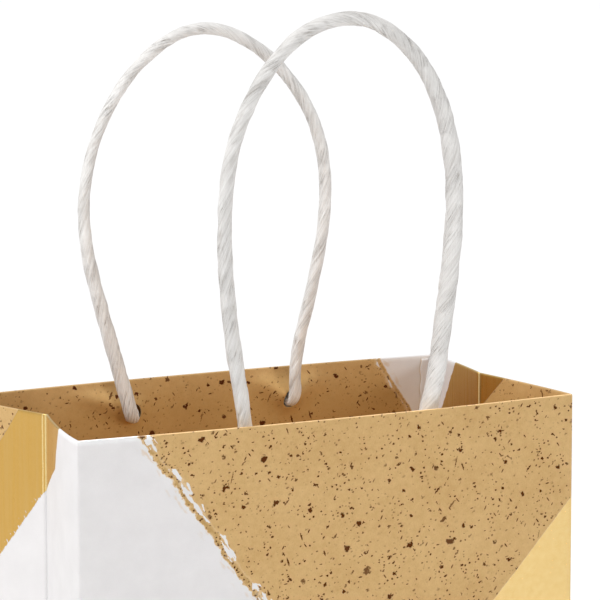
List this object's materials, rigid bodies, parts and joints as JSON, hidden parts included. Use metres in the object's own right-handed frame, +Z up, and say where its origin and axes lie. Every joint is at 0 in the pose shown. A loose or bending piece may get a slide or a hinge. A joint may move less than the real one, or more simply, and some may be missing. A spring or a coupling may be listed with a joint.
{
  "type": "gift bag",
  "caption": "Upright folded paper gift bag with pinched side gussets, a turned-in rim, a loose base board and two twisted paper cord handles.",
  "frame": {"origin": "centre of the base, on the surface the bag stands on", "axes": "+Z up, -Y out of the front panel, +X to the right of the front panel"},
  "size_m": [0.19, 0.104, 0.3767],
  "materials": {
    "printed_paper": "coated paper with a satin print of white, speckled kraft brown and metallic gold areas",
    "grey_card": "matt grey-brown recycled board",
    "paper_cord": "matt white twisted paper"
  },
  "bodies": {
    "bag": {"front_panel": "printed_paper", "back_panel": "printed_paper", "left_gusset_front": "printed_paper", "left_gusset_rear": "printed_paper", "right_gusset_front": "printed_paper", "right_gusset_rear": "printed_paper", "front_hem": "printed_paper", "back_hem": "printed_paper", "left_hem_front": "printed_paper", "left_hem_rear": "printed_paper", "right_hem_front": "printed_paper", "right_hem_rear": "printed_paper", "front_bottom_flap": "printed_paper", "back_bottom_flap": "printed_paper", "left_bottom_flap": "printed_paper", "right_bottom_flap": "printed_paper", "side_glue_flap": "printed_paper", "front_reinforcement_card": "grey_card", "back_reinforcement_card": "grey_card", "front_handle_roots": "paper_cord", "back_handle_roots": "paper_cord", "front_handle_anchors": "paper_cord", "back_handle_anchors": "paper_cord"},
    "front_handle": {"front_handle_loop": "paper_cord"},
    "back_handle": {"back_handle_loop": "paper_cord"},
    "base_card": {"base_board": "grey_card"}
  },
  "joints": [
    {"name": "front_handle_swing", "type": "hinge", "parent": "bag", "child": "front_handle", "pos_m": [0.0035, -0.0445, 0.243], "axis": [1, 0, 0], "range_deg": [-18, 90], "stiffness_Nm_per_rad": 0.03},
    {"name": "back_handle_swing", "type": "hinge", "parent": "bag", "child": "back_handle", "pos_m": [0.0035, 0.0445, 0.243], "axis": [-1, 0, 0], "range_deg": [-18, 90], "stiffness_Nm_per_rad": 0.03},
    {"name": "base_board_tip", "type": "hinge", "parent": "bag", "child": "base_card", "pos_m": [0, 0.0463, 0.001], "axis": [-1, 0, 0], "range_deg": [0, 87]}
  ]
}
